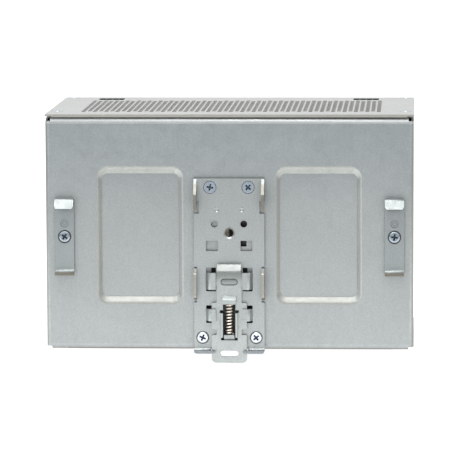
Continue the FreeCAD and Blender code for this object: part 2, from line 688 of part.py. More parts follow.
def spring_hood():
    """Raised cover over the top of the spring."""
    outer = -4.1
    inner = outer + SLIDE_T
    points = [(SLIDE_REAR_Y - 0.2, -31.0), (SLIDE_FACE_Y, -32.0), (outer, -34.1), (outer, -36.5)]
    points += [(inner, -36.5), (inner, -35.2), (SLIDE_REAR_Y - 0.2, -34.2)]
    radii = [0, 0.3, 0.8, 0.2, 0.2, 0, 0]
    hood = plate("yz", -HOOD_HALF_X, HOOD_HALF_X, (points, radii))
    return hood.common(plate("xz", -6, 0, rounded(0, -34.2, HOOD_HALF_X, 2.6, 1.3)))


def spring_window():
    """Window for the spring, wider at its foot."""
    narrow = SPRING_WINDOW_X
    wide = SPRING_WINDOW_FOOT_X
    points = [(-wide, SPRING_WINDOW_BASE), (wide, SPRING_WINDOW_BASE), (wide, SPRING_WINDOW_FOOT_Z)]
    points += [(narrow, SPRING_WINDOW_FOOT_Z), (narrow, SPRING_WINDOW_TOP), (-narrow, SPRING_WINDOW_TOP)]
    points += [(-narrow, SPRING_WINDOW_FOOT_Z), (-wide, SPRING_WINDOW_FOOT_Z)]
    return polygon(points, 0.2)


def dimple():
    """Tool for the pressed obround dimple in the slide."""
    levels = ((SLIDE_FACE_Y - 0.1, 0), (SLIDE_FACE_Y, 0), (SLIDE_FACE_Y + 1.05, 0.6))
    wires = []
    for y, inset in levels:
        half = 1.85 - inset
        wires.append(outline("xz", y, *rounded(0, DIMPLE_Z, 4.6 - inset, half, half)))
    return Part.makeLoft(wires, True, True)


def latch_slide():
    """Sliding latch with hook, pull slot, spring window and hood."""
    ears = [rounded(side * 4.2, -40.55, 0.9, 0.75, 0.3) for side in (-1, 1)]
    pull = rounded(0, PULL_Z, 4.8, 1.6, 1.6)
    body = plate("xz", SLIDE_FACE_Y, SLIDE_REAR_Y, slide_outline(), [spring_window(), pull])
    body = body.cut([plate("xz", SLIDE_FACE_Y - 0.2, SLIDE_REAR_Y + 0.2, ear) for ear in ears])
    edge = SPRING_WINDOW_X
    flange = box(edge, edge + 1.0, SLIDE_FACE_Y - FLANGE_H, SLIDE_FACE_Y + 0.5, SPRING_WINDOW_FOOT_Z, FLANGE_TOP_Z)
    body = joined([body, latch_hook(), spring_hood(), *both_sides(flange)])
    return body.cut(dimple())


def latch_spring():
    """Compression spring between the plate's seat and the slide."""
    low = SPRING_SEAT_Z + SPRING_WIRE_R
    height = SPRING_WINDOW_TOP - SPRING_SEAT_Z - 2 * SPRING_WIRE_R
    path = Part.makeHelix(height / SPRING_TURNS, height, SPRING_MEAN_R)
    start = Vector(SPRING_MEAN_R, 0, 0)
    section = Part.Wire(Part.makeCircle(SPRING_WIRE_R, start, Vector(0, 1, 0.15)))
    coil = Part.Wire(path).makePipeShell([section], True, True)
    coil.translate(Vector(0, SPRING_Y, low))
    return coil


# ---------- inside the case ----------

def insulation_sheet():
    """Insulating film between the tray and the main board."""
    holes = [disc(x, z, 2.75) for x, z in STANDOFFS]
    return plate("xz", INSULATION_Y, INSULATION_Y + INSULATION_T, rounded(0, 0.5, 93, 58.5, 2), holes)


def pcb_standoffs():
    """Stepped studs that carry the film and the main board."""
    studs = []
    for x, z in STANDOFFS:
        foot = hex_bar(8.0, x, z, REAR_Y + SHEET, INSULATION_Y)
        stud = foot.fuse(rod(2.75, (x, INSULATION_Y, z), (x, BOARD_Y, z))).removeSplitter()
        studs.append(stud.cut(rod(SHANK_R, (x, 4.0, z), (x, BOARD_Y, z))))
    return Part.makeCompound(studs)


def main_pcb():
    """Main circuit board."""
    holes = [disc(x, z, CLEAR_R) for x, z in STANDOFFS]
    return plate("xz", BOARD_Y, BOARD_TOP_Y, rounded(0, 0.5, 91, 56.5, 1), holes)


def pcb_screws():
    """Pan-head screws holding the main board."""
    screw = pan_screw(2.75, 2.0, 5.5)
    return Part.makeCompound([turned(screw, (x, BOARD_TOP_Y, z), (0, -1, 0)) for x, z in STANDOFFS])


def transformer_core():
    """Ferrite core with two outer legs and a centre leg."""
    frame = box(-3, 43, 16, 50, 8, 32)
    return frame.cut([box(3, 37, 21, 29, 0, 40), box(3, 37, 37, 45, 0, 40)])


def transformer_winding():
    """Bobbin foot and wound coil around the centre leg."""
    coil = plate("yz", 4, 36, rounded(33, 20, 11.8, 17, 3), [rounded(33, 20, 4, 12)])
    foot = box(-2, 42, BOARD_TOP_Y, 16, 6, 34)
    posts = [box(x, x + 2, 16, 22, z, z + 2) for x in (6, 32) for z in (4.5, 33.5)]
    return Part.makeCompound([coil.fuse(foot.fuse(posts)).removeSplitter()])


def toroid_core(x, z, outer_r, inner_r, y0, y1):
    """Plain ring core lying on the board."""
    return ring(outer_r, inner_r, (x, y0, z), (x, y1, z))


def toroid_winding(x, z, outer_r, inner_r, y0, y1, wire):
    """Two wound sectors wrapped closely round a ring core."""
    section = [(inner_r - wire, y0 - wire), (outer_r + wire, y0 - wire)]
    section += [(outer_r + wire, y1 + wire), (inner_r - wire, y1 + wire)]
    core = [(inner_r, y0), (outer_r, y0), (outer_r, y1), (inner_r, y1)]
    wires = [outline("xy", 0, *polygon(loop)) for loop in (section, core)]
    face = Part.makeFace(wires, "Part::FaceMakerBullseye")
    sector = face.revolve(Vector(0, 0, 0), Vector(0, 1, 0), 140)
    other = sector.copy()
    other.rotate(Vector(0, 0, 0), Vector(0, 1, 0), 180)
    pair = Part.makeCompound([sector, other])
    pair.translate(Vector(x, 0, z))
    return pair


def pfc_choke_core():
    """Ring core of the input-side choke."""
    return toroid_core(-24, 24, 16, 9, 12.2, 30)


def pfc_choke_winding():
    """Winding of the input-side choke."""
    return toroid_winding(-24, 24, 16, 9, 12.2, 30, 1.6)


def emi_choke():
    """Common-mode choke in a potted box."""
    body = plate("xz", BOARD_TOP_Y, 34, rounded(-76, 34, 12, 13, 2))
    return body.cut(rod(4, (-76, 28, 34), (-76, 40, 34)))


def x_capacitors():
    """Two film capacitors across the input."""
    caps = [plate("xz", BOARD_TOP_Y, 28, rounded(-78, z, 10, 5.5, 0.8)) for z in (10, -6)]
    return Part.makeCompound(caps)


def relay():
    """Inrush relay."""
    return plate("xz", BOARD_TOP_Y, 26, rounded(-54, 14, 10, 8, 0.6))


def input_fuse():
    """Cartridge fuse with two end caps and clips."""
    body = rod(2.6, (-60, 16, 50), (-40, 16, 50))
    caps = [rod(3.1, (x, 16, 50), (x + 5, 16, 50)) for x in (-62, -43)]
    clips = [box(x, x + 3, BOARD_TOP_Y, 14, 49, 51) for x in (-61, -42)]
    return body.fuse(caps + clips).removeSplitter()


def varistor():
    """Disc surge absorber on two leads."""
    body = rod(7, (-52.5, 20, 34), (-47.5, 20, 34))
    leads = [rod(0.4, (-50, BOARD_TOP_Y, z), (-50, 15, z)) for z in (30.5, 37.5)]
    return body.fuse(leads).removeSplitter()


def electrolytic(x, z, radius, height):
    """Can capacitor with a crimp groove and a rubber foot."""
    can = rod(radius, (x, BOARD_TOP_Y, z), (x, BOARD_TOP_Y + height, z))
    groove_y = BOARD_TOP_Y + 4
    groove = ring(radius + 1, radius - 0.7, (x, groove_y, z), (x, groove_y + 1.2, z))
    return can.cut(groove)


def bulk_capacitors():
    """High-voltage storage capacitors."""
    return Part.makeCompound([electrolytic(x, -26, 12.5, 45) for x in (-70, -42, -14)])


def primary_heatsink():
    """Finned bar for the input-side semiconductors."""
    base = box(-80, -28, BOARD_TOP_Y, 72, -49.5, -46.5)
    fins = [box(x, x + 1.6, BOARD_TOP_Y + 2, 72, -56, -49.5) for x in range(-80, -28, 5)]
    return base.fuse(fins).removeSplitter()


def packages_on_primary(centres, half_w, height):
    """Flat packages bolted on the primary heatsink."""
    cases = []
    for x in centres:
        case = box(x - half_w, x + half_w, 30, 30 + height, -46.5, -42)
        legs = [rod(0.5, (x + k * 3, BOARD_TOP_Y, -44.5), (x + k * 3, 30, -44.5)) for k in (-1, 0, 1)]
        cases.append(case.fuse(legs).removeSplitter())
    return Part.makeCompound(cases)


def switching_transistors():
    """Power switches on the primary heatsink."""
    return packages_on_primary((-62, -46), 5, 15)


def bridge_rectifier():
    """Input rectifier on the primary heatsink."""
    return packages_on_primary((-33.5,), 5, 20)


def secondary_heatsink():
    """Finned bar along the right wall."""
    base = box(84, 87, BOARD_TOP_Y, 80, -40, 44)
    fins = [box(87, 92, BOARD_TOP_Y + 2, 80, z, z + 1.6) for z in range(-40, 44, 6)]
    return base.fuse(fins).removeSplitter()


def output_rectifiers():
    """Output rectifier packages on the secondary heatsink."""
    cases = []
    for z in (-20, 5, 30):
        case = box(79.5, 84, 32, 50, z - 8, z + 8)
        legs = [rod(0.6, (81.5, BOARD_TOP_Y, z + k * 5), (81.5, 32, z + k * 5)) for k in (-1, 0, 1)]
        cases.append(case.fuse(legs).removeSplitter())
    return Part.makeCompound(cases)


def output_capacitors():
    """Low-voltage filter capacitors."""
    places = [(x, z) for x in (52, 70) for z in (-42, -24, -6)]
    return Part.makeCompound([electrolytic(x, z, 8, 32) for x, z in places])


def output_choke_core():
    """Ring core of the output choke."""
    return toroid_core(24, -28, 14, 8, 12.2, 26)


def output_choke_winding():
    """Winding of the output choke."""
    return toroid_winding(24, -28, 14, 8, 12.2, 26, 1.6)


def output_busbars():
    """Copper bars from the main board to the output board."""
    bars = [box(x, x + 10, BOARD_TOP_Y, FRONT_BOARD_Y, -51, -49.5) for x in (-13, 3)]
    return Part.makeCompound(bars)


def input_leads():
    """Three insulated wires from the input terminals to the main board."""
    wires = [rod(1.3, (x, BOARD_TOP_Y, 53), (x, FRONT_BOARD_Y, 53)) for x in (-80, -74, -68)]
    return Part.makeCompound(wires)


def signal_ribbon():
    """Flat cable between the main board and the control board."""
    return box(20, 32, BOARD_TOP_Y, FRONT_BOARD_Y, 50.2, 51)


# ---------- front boards and connections ----------

def control_pcb():
    """Board behind the upper front with input, signals and trimmer."""
    holes = [disc(x, z, CLEAR_R) for x, z in CONTROL_SPACERS]
    return plate("xz", FRONT_BOARD_Y, FRONT_BOARD_FACE, rounded(0, 38, 90, 20, 1), holes)


def output_pcb():
    """Board behind the output terminals."""
    holes = [disc(x, z, CLEAR_R) for x, z in OUTPUT_SPACERS]
    return plate("xz", FRONT_BOARD_Y, FRONT_BOARD_FACE, rounded(0, -40.5, 35, 16.5, 1), holes)


def front_spacers():
    """Hexagonal spacers between the front boards and the front panel."""
    bars = []
    for x, z in CONTROL_SPACERS + OUTPUT_SPACERS:
        bar = hex_bar(6.0, x, z, FRONT_BOARD_FACE, PANEL_REAR_Y)
        bars.append(bar.cut(rod(SHANK_R, (x, FRONT_BOARD_FACE, z), (x, FRONT_BOARD_FACE + 6, z))))
    return Part.makeCompound(bars)


def front_board_screws():
    """Pan-head screws from the boards into the spacers."""
    screw = pan_screw(2.75, 2.0, 5.5)
    places = CONTROL_SPACERS + OUTPUT_SPACERS
    return Part.makeCompound([turned(screw, (x, FRONT_BOARD_Y, z), (0, 1, 0)) for x, z in places])


def terminal_block(middle_x, count, pitch, z_range, entry, tab):
    """Screw terminal block with one wire entry and one screw well per pole."""
    low, high = z_range
    half = count * pitch / 2
    block = box(middle_x - half, middle_x + half, FRONT_BOARD_FACE, BLOCK_FRONT_Y, low, high)
    if tab:
        left = math.copysign(WINDOW_X, middle_x) - 6.6
        tab = [box(left, left + 13.2, 99.3, 110.6, high - 0.5, TOP_Z - 1.3)]
        tab += [box(left + 3.5 * k, left + 3.5 * k + 2.7, 109.4, 110.6, high - 0.5, TOP_Z - 0.1) for k in range(4)]
        block = block.fuse(tab)
    tools = []
    for k in range(count):
        x = middle_x - half + (k + 0.5) * pitch
        z = low + entry * 0.5 + 1.6
        tools.append(box(x - entry / 2, x + entry / 2, 106, 125, z - entry / 2, z + entry / 2))
        tools.append(rod(0.36 * pitch, (x, 116, high - 0.45 * pitch), (x, 125, high - 0.45 * pitch)))
    return block.removeSplitter().cut(tools)


def terminal_screws(middle_x, count, pitch, top_z, slot):
    """Clamp screws at the bottom of their wells."""
    half = count * pitch / 2
    radius = 0.36 * pitch
    screws = []
    for k in range(count):
        x = middle_x - half + (k + 0.5) * pitch
        z = top_z - 0.45 * pitch
        head = rod(radius - 0.15, (x, 116, z), (x, 117.8, z))
        screws.append(head.cut(box(x - radius, x + radius, 117, 119, z - slot, z + slot)))
    return Part.makeCompound(screws)


def input_terminal_block():
    """Four-pole block for the supply wires."""
    return terminal_block(-WINDOW_X, 4, 7.62, (36, BLOCK_TOP_Z), 5.4, True)


def input_terminal_screws():
    """Clamp screws of the supply block."""
    return terminal_screws(-WINDOW_X, 4, 7.62, BLOCK_TOP_Z, 0.5)


def signal_terminal_block():
    """Five-pole block for the signal wires."""
    return terminal_block(WINDOW_X, 5, 5.08, (40, BLOCK_TOP_Z), 3.6, True)


def signal_terminal_screws():
    """Clamp screws of the signal block."""
    return terminal_screws(WINDOW_X, 5, 5.08, BLOCK_TOP_Z, 0.4)


def output_terminal_block():
    """Four-pole block for the load wires."""
    return terminal_block(0, 4, 12.7, (-56, -28), 8.0, False)


def output_terminal_screws():
    """Clamp screws of the output block."""
    return terminal_screws(0, 4, 12.7, -28, 0.7)


def status_leds():
    """Small lamps soldered on the control board."""
    lamps = [box(x - 1.2, x + 1.2, FRONT_BOARD_FACE, FRONT_BOARD_FACE + 1.4, LED_Z - 1.2, LED_Z + 1.2) for x in LED_XS]
    return Part.makeCompound(lamps)


def light_pipes():
    """Clear rods from the lamps to the front panel."""
    rods = []
    for x in LED_XS:
        pipe = rod(1.5, (x, FRONT_BOARD_FACE + 1.4, LED_Z), (x, FRONT_Y + 0.6, LED_Z))
        rods.append(pipe.fuse(rod(2.4, (x, 115.5, LED_Z), (x, PANEL_REAR_Y, LED_Z))).removeSplitter())
    return Part.makeCompound(rods)


def trim_pot_body():
    """Housing of the output trimmer."""
    body = box(TRIM_X - 5, TRIM_X + 5, FRONT_BOARD_FACE, 108, TRIM_Z - 5, TRIM_Z + 5)
    return body.cut(rod(2.6, (TRIM_X, 106, TRIM_Z), (TRIM_X, 109, TRIM_Z)))


def trim_pot_rotor():
    """Slotted shaft of the output trimmer."""
    shaft = rod(2.5, (TRIM_X, 106, TRIM_Z), (TRIM_X, FRONT_Y - 0.3, TRIM_Z))
    return shaft.cut(box(TRIM_X - 0.4, TRIM_X + 0.4, FRONT_Y - 1.5, FRONT_Y, TRIM_Z - 2.6, TRIM_Z + 2.6))


NODES = (
    chassis_tray, top_cover, bottom_cover, cover_screws, front_panel, front_panel_screws,
    rail_plate, centre_nut, plate_upper_screws, plate_lower_screws,
    side_bracket_left, side_bracket_right, bracket_screws, latch_slide, latch_spring,
    insulation_sheet, pcb_standoffs, main_pcb, pcb_screws,
    transformer_core, transformer_winding, pfc_choke_core, pfc_choke_winding, emi_choke,
    x_capacitors, relay, input_fuse, varistor, bulk_capacitors, primary_heatsink,
    switching_transistors, bridge_rectifier, secondary_heatsink, output_rectifiers,
    output_capacitors, output_choke_core, output_choke_winding, output_busbars,
    input_leads, signal_ribbon, control_pcb, output_pcb, front_spacers, front_board_screws,
    input_terminal_block, input_terminal_screws, signal_terminal_block, signal_terminal_screws,
    output_terminal_block, output_terminal_screws, status_leds, light_pipes,
    trim_pot_body, trim_pot_rotor,
)

for node in NODES:
    node().exportStep(f"parts/{node.__name__}.step")
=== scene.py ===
import json
import math

import bmesh
import bpy
from mathutils import Matrix, Vector


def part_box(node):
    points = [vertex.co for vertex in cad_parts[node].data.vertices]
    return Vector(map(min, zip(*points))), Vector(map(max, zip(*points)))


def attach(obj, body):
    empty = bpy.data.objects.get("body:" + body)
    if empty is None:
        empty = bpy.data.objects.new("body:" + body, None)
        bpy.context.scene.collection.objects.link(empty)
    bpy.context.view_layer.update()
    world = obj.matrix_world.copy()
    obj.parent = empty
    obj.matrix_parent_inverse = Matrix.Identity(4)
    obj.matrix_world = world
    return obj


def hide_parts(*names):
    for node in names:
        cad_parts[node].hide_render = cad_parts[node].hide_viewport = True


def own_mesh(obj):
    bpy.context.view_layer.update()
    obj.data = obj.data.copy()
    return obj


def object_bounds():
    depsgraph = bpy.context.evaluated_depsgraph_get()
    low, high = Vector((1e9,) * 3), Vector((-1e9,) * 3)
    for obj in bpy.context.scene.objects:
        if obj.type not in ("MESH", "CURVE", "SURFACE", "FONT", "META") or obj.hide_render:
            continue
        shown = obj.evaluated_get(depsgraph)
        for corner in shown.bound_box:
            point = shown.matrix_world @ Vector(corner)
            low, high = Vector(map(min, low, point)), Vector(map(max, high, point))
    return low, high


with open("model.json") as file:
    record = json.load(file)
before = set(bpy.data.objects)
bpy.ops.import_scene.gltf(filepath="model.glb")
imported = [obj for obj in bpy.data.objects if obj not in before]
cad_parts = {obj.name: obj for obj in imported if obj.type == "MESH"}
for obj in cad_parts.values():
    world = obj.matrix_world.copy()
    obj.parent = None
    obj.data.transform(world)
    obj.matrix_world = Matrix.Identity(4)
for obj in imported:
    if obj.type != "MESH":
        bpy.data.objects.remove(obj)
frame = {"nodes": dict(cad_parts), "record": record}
nodes = frame["nodes"]
cad_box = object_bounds()

# All lengths are in metres, in the frame of the CAD model.

# ---------------------------------------------------------------- node helpers

NOISE_SPAN = (0.3, 0.7)


def new_material(name):
    """Empty node material; returns the material, its node tree and its shader."""
    mat = bpy.data.materials.new(name)
    mat.use_nodes = True
    tree = mat.node_tree
    return mat, tree, tree.nodes["Principled BSDF"]


def noise(tree, scale, detail=2.0, rough=0.5, stretch=(1, 1, 1)):
    """Noise in the object's own coordinates, stretched along the given axes."""
    coord = tree.nodes.new("ShaderNodeTexCoord")
    mapping = tree.nodes.new("ShaderNodeMapping")
    mapping.inputs["Scale"].default_value = stretch
    tex = tree.nodes.new("ShaderNodeTexNoise")
    tex.inputs["Scale"].default_value = scale
    tex.inputs["Detail"].default_value = detail
    tex.inputs["Roughness"].default_value = rough
    tree.links.new(coord.outputs["Object"], mapping.inputs["Vector"])
    tree.links.new(mapping.outputs["Vector"], tex.inputs["Vector"])
    return tex.outputs["Fac"]


def ramp(tree, source, stops):
    """Colour ramp over a value; stops are (position, (r, g, b))."""
    node = tree.nodes.new("ShaderNodeValToRGB")
    while len(node.color_ramp.elements) < len(stops):
        node.color_ramp.elements.new(0.5)
    for element, (position, colour) in zip(node.color_ramp.elements, stops):
        element.position = position
        element.color = (*colour, 1)
    tree.links.new(source, node.inputs["Fac"])
    return node.outputs["Color"]


def scaled(tree, source, low, high, from_low=NOISE_SPAN[0], from_high=NOISE_SPAN[1]):
    """Maps a value to a new range; the default source range is that of a noise."""
    node = tree.nodes.new("ShaderNodeMapRange")
    node.inputs["From Min"].default_value = from_low
    node.inputs["From Max"].default_value = from_high
    node.inputs["To Min"].default_value = low
    node.inputs["To Max"].default_value = high
    tree.links.new(source, node.inputs["Value"])
    return node.outputs["Result"]


def multiply(tree, a, b):
    """Product of two colours."""
    node = tree.nodes.new("ShaderNodeMix")
    node.data_type = "RGBA"
    node.blend_type = "MULTIPLY"
    node.inputs["Factor"].default_value = 1.0
    tree.links.new(a, node.inputs["A"])
    tree.links.new(b, node.inputs["B"])
    return node.outputs["Result"]


def tinted(tree, colour, mask, tint):
    """Colour multiplied by a tint where the mask is 1."""
    node = tree.nodes.new("ShaderNodeMix")
    node.data_type = "RGBA"
    node.blend_type = "MULTIPLY"
    tree.links.new(mask, node.inputs["Factor"])
    tree.links.new(colour, node.inputs["A"])
    node.inputs["B"].default_value = (*tint, 1)
    return node.outputs["Result"]


def bump(tree, shader, source, strength, distance):
    """Bump from a height value."""
    node = tree.nodes.new("ShaderNodeBump")
    node.inputs["Strength"].default_value = strength
    node.inputs["Distance"].default_value = distance
    tree.links.new(source, node.inputs["Height"])
    tree.links.new(node.outputs["Normal"], shader.inputs["Normal"])


def calc(tree, operation, *values):
    """Math node over sockets or numbers."""
    node = tree.nodes.new("ShaderNodeMath")
    node.operation = operation
    for socket, value in zip(node.inputs, values):
        if isinstance(value, (int, float)):
            socket.default_value = value
        else:
            tree.links.new(value, socket)
    return node.outputs["Value"]


# ---------------------------------------------------------------- mask makers
# A mask is a value that is 1 on one area of a part and 0 elsewhere; its maker is a
# function that builds it in a node tree. Spans are (low, high).

OPEN = 10.0  # a limit that no position or direction reaches
EDGE_SLOPE = 0.45
PANEL_CENTRE = (0.04675, -0.0007)
RECESS_START = 0.00012
RIM_INSIDE = 0.00022
RIM_OUTSIDE = 0.0002


def axes(tree, output):
    """X, Y and Z of a texture coordinate: "Object" is the position, "Normal" the direction."""
    coord = tree.nodes.new("ShaderNodeTexCoord")
    split = tree.nodes.new("ShaderNodeSeparateXYZ")
    tree.links.new(coord.outputs[output], split.inputs["Vector"])
    return split.outputs


def between(tree, value, low, high):
    """1 where a value lies in a range, else 0."""
    over = calc(tree, "GREATER_THAN", value, low)
    return calc(tree, "MULTIPLY", over, calc(tree, "LESS_THAN", value, high))


def offset(tree, value, centre=0.0):
    """Distance of a value from a centre."""
    return calc(tree, "ABSOLUTE", calc(tree, "SUBTRACT", value, centre))


def hypotenuse(tree, a, b):
    """Length of the diagonal over two sides."""
    squares = [calc(tree, "MULTIPLY", side, side) for side in (a, b)]
    return calc(tree, "SQRT", calc(tree, "ADD", *squares))


def panel_distance(tree, half_x, half_z, corner_r):
    """Signed distance from a rounded outline round the centres of the two pressed panels."""
    position = axes(tree, "Object")
    across = offset(tree, offset(tree, position["X"]), PANEL_CENTRE[0])
    upright = offset(tree, position["Z"], PANEL_CENTRE[1])
    dx = calc(tree, "SUBTRACT", across, half_x - corner_r)
    dz = calc(tree, "SUBTRACT", upright, half_z - corner_r)
    outside = hypotenuse(tree, calc(tree, "MAXIMUM", dx, 0.0), calc(tree, "MAXIMUM", dz, 0.0))
    inside = calc(tree, "MINIMUM", calc(tree, "MAXIMUM", dx, dz), 0.0)
    return calc(tree, "SUBTRACT", calc(tree, "ADD", outside, inside), corner_r)


def panel_ring(outline, low, high):
    """Band along the outline of the two pressed panels."""
    return lambda tree: between(tree, panel_distance(tree, *outline), low, high)


def ring(centre, low, high):
    """Ring round a point (x, z) of the rear side, or round two mirrored points."""

    def mask(tree):
        position = axes(tree, "Object")
        dx = calc(tree, "SUBTRACT", offset(tree, position["X"]), centre[0])
        dz = calc(tree, "SUBTRACT", position["Z"], centre[1])
        return between(tree, hypotenuse(tree, dx, dz), low, high)

    return mask


def area(x=None, y=None, z=None):
    """Box with the given spans; x counts from the centre plane to both sides."""

    def mask(tree):
        position = axes(tree, "Object")
        spans = ((offset(tree, position["X"]), x), (position["Y"], y), (position["Z"], z))
        return product(tree, [between(tree, value, *span) for value, span in spans if span])

    return mask


def turned(axis, low, high):
    """Surfaces whose direction along an axis lies in a span."""
    return lambda tree: between(tree, axes(tree, "Normal")[axis], low, high)


def fading(axis, low, high, start=0.0):
    """Rises from the start value to 1 along an axis."""
    return lambda tree: scaled(tree, axes(tree, "Object")[axis], start, 1, low, high)


def product(tree, masks):
    """Area that all of the masks share."""
    shared = masks[0]
    for mask in masks[1:]:
        shared = calc(tree, "MULTIPLY", shared, mask)
    return shared


def both(*makers):
    """Area shared by all of the masks."""
    return lambda tree: product(tree, [make(tree) for make in makers])


def either(first, second):
    """Area of one mask or the other."""
    return lambda tree: calc(tree, "MAXIMUM", first(tree), second(tree))


def without(maker):
    """Everything outside a mask."""
    return lambda tree: calc(tree, "SUBTRACT", 1.0, maker(tree))


def flat_edges(axis, **span):
    """Cut edges of a flat sheet whose faces lie across an axis, inside a span."""
    return both(turned(axis, -EDGE_SLOPE, EDGE_SLOPE), area(**span))


def screw_shade_marks(node, head_r, recess_r):
    """Painted shade in the cross recess and round the rim of a pair of mirrored screws."""
    low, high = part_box(node)
    centre = (high.x - head_r, (low.z + high.z) / 2)
    deep = area(y=(low.y + RECESS_START, OPEN))
    rim = ring(centre, head_r - RIM_INSIDE, head_r + RIM_OUTSIDE)
    return both(deep, ring(centre, -OPEN, recess_r)), rim


# ---------------------------------------------------------------- masks

# Tray: the two pressed panels are outlined by half width, half height and corner radius
PANEL_FLOOR = (0.0202, 0.0323, 0.003)
PANEL_RIM = (0.0227, 0.0366, 0.006)
PANEL_LINE_IN = -0.00015
PANEL_LINE_OUT = 0.0003
SLOPE_TURN = 0.15
# Painted shade along the crease round each panel floor; painted light on the panel slopes, lighter still
# on the left-facing ones; painted shade on the up-facing ones
tray_panel_crease_shade = panel_ring(PANEL_FLOOR, PANEL_LINE_IN, PANEL_LINE_OUT)
tray_panel_slope = both(panel_ring(PANEL_FLOOR, PANEL_LINE_OUT, OPEN), panel_ring(PANEL_RIM, -OPEN, 0.0))
tray_left_slope_highlight = both(tray_panel_slope, turned("X", -OPEN, -SLOPE_TURN))
tray_up_slope_shade = both(tray_panel_slope, turned("Z", SLOPE_TURN, OPEN))
tray_ends = area(x=(0.0953, OPEN))
# Painted shade on the upper part of the wall and along the foot, painted highlight on the top bend
tray_upper_shade = fading("Z", 0.012, 0.060)
tray_foot_shade = area(y=(-OPEN, 0.006), z=(-OPEN, -0.0603))
tray_top_bend_highlight = area(y=(-OPEN, 0.004), z=(0.0580, OPEN))

# Covers: cut edges, and painted shade round the flush screws
COVER_SCREW_X = 0.092
COVER_SCREW_YS = (0.022, 0.1135)
COVER_SCREW_RING = (0.0024, 0.0031)
cover_cuts = turned("Z", -EDGE_SLOPE, EDGE_SLOPE)


def cover_screw_shade(tree):
    """Painted shade round the flush screws in the covers."""
    position = axes(tree, "Object")
    dx = calc(tree, "SUBTRACT", offset(tree, position["X"]), COVER_SCREW_X)
    dy = calc(tree, "MINIMUM", *[offset(tree, position["Y"], y) for y in COVER_SCREW_YS])
    return between(tree, hypotenuse(tree, dx, dy), *COVER_SCREW_RING)


# Rail plate: sheet, folded ears, guide flaps, turned lip at the foot; painted shade on the cut edges,
# the upper ears, the lip and round the screws, painted highlight at the flap roots
EAR_X = 0.0168
plate_edge_shade = flat_edges("Y", y=(-0.0001, 0.0016))
plate_ear_edges = area(x=(EAR_X, OPEN), y=(-OPEN, -0.0015), z=(-0.050, OPEN))
plate_upper_ear_shade = area(x=(EAR_X, OPEN), y=(-OPEN, -0.0003), z=(0.0, OPEN))
plate_flap_root_highlight = area(x=(0.0105, 0.0131), y=(-OPEN, -0.0001), z=(-0.0289, -0.0200))
plate_lip_shade = area(y=(-OPEN, -0.001), z=(-OPEN, -0.0609))
plate_upper_seat_shade = ring((0.010, 0.0248), 0.0031, 0.00345)
plate_lower_seat_shade = ring((0.01405, -0.0545), 0.0029, 0.0034)

# Threaded hole, with its right half in shade
nut_bore = ring((0.0, 0.0007), -OPEN, 0.00215)
nut_shade = both(nut_bore, fading("X", -0.0008, 0.0001))

# Latch: pressed slot-shaped dimple, hook over the rail; painted shade on the dimple's top, the hook and
# the face under the hook, painted highlight on the dimple's foot
DIMPLE_Z = -0.02495
DIMPLE_HALF_Z = 0.0025
DIMPLE_FADE_Z = 0.0012
HOOK_Z = -0.0186
SHADE_Z = -0.0250
latch_dimple = area(x=(-OPEN, 0.0052), z=(DIMPLE_Z - DIMPLE_HALF_Z, DIMPLE_Z + DIMPLE_HALF_Z))
latch_dimple_top_shade = both(
    latch_dimple,
    area(y=(-0.00142, OPEN)),
    fading("Z", DIMPLE_Z - DIMPLE_FADE_Z, DIMPLE_Z + DIMPLE_FADE_Z, start=0.15),
)
latch_dimple_foot_highlight = both(latch_dimple, area(z=(-OPEN, DIMPLE_Z)), turned("Y", -0.9, 0.9))
latch_edge_shade = both(flat_edges("Y", y=(-0.0016, 0.0)), without(latch_dimple))
latch_hook_shade = area(y=(-OPEN, -0.0017), z=(HOOK_Z, OPEN))
latch_shade = both(area(z=(SHADE_Z, HOOK_Z)), fading("Z", SHADE_Z, -0.0215))

# Brackets: cut sides and toe, hook, foot, pressed pip; painted shade on the hook, on the foot, round the
# screw and in two rings of the pip
BRACKET_TOE_Y = -0.0029
PIP_CENTRE = (0.0865, 0.0056)
bracket_cuts = either(without(turned("X", -0.8, 0.8)), area(y=(-OPEN, BRACKET_TOE_Y), z=(-OPEN, 0.0)))
bracket_hook_shade = area(y=(-OPEN, -0.001), z=(0.012, OPEN))
bracket_foot_shade = area(y=(BRACKET_TOE_Y, 0.0005), z=(-OPEN, -0.0188))
bracket_seat_shade = ring((0.0865, -0.0013), 0.0030, 0.0035)
bracket_pip_shade = either(ring(PIP_CENTRE, 0.0018, 0.0021), ring(PIP_CENTRE, 0.0008, 0.0011))

# Screws: the heads are seen from the rear; painted shade in the cross recesses and round the rims
upper_recess_shade, upper_rim_shade = screw_shade_marks("plate_upper_screws", 0.0033, 0.0019)
lower_recess_shade, _ = screw_shade_marks("plate_lower_screws", 0.0030, 0.0019)
bracket_recess_shade, bracket_rim_shade = screw_shade_marks("bracket_screws", 0.00305, 0.0018)

# ---------------------------------------------------------------- finishes

# Noises are (scale, detail, roughness, stretch); bumps are (strength, height).
SHEET_GRAIN = (1500, 3, 0.7)
SHEET_CLOUDS = (28, 3, 0.55)
SHEET_ROLLING = (60, 2, 0.5, (14, 14, 1))
GRAIN_SPAN = (0.28, 0.72)
CLOUD_DEPTH = 0.95
ROLLING_DEPTH = 0.975
SHEET = {
    "metallic": 0.85,
    "patches": (240, 4, 0.6),
    "spread": (-0.05, 0.07),
    "texture": (900, 4, 0.7),
    "bump": (0.12, 0.00012),
}
PLATED_GRAIN = (900, 3, 0.6)
PLATED = {
    "metallic": 1.0,
    "patches": (1600, 3),
    "spread": (-0.06, 0.1),
    "texture": (2600, 2),
    "bump": (0.08, 0.00005),
}
MOULDED_GRAIN = (700, 3, 0.6)
MOULDED = {
    "metallic": 0.0,
    "patches": (120, 3),
    "spread": (-0.05, 0.08),
    "texture": (1300, 3),
    "bump": (0.1, 0.00006),
}
GRAIN_DARK = 0.88


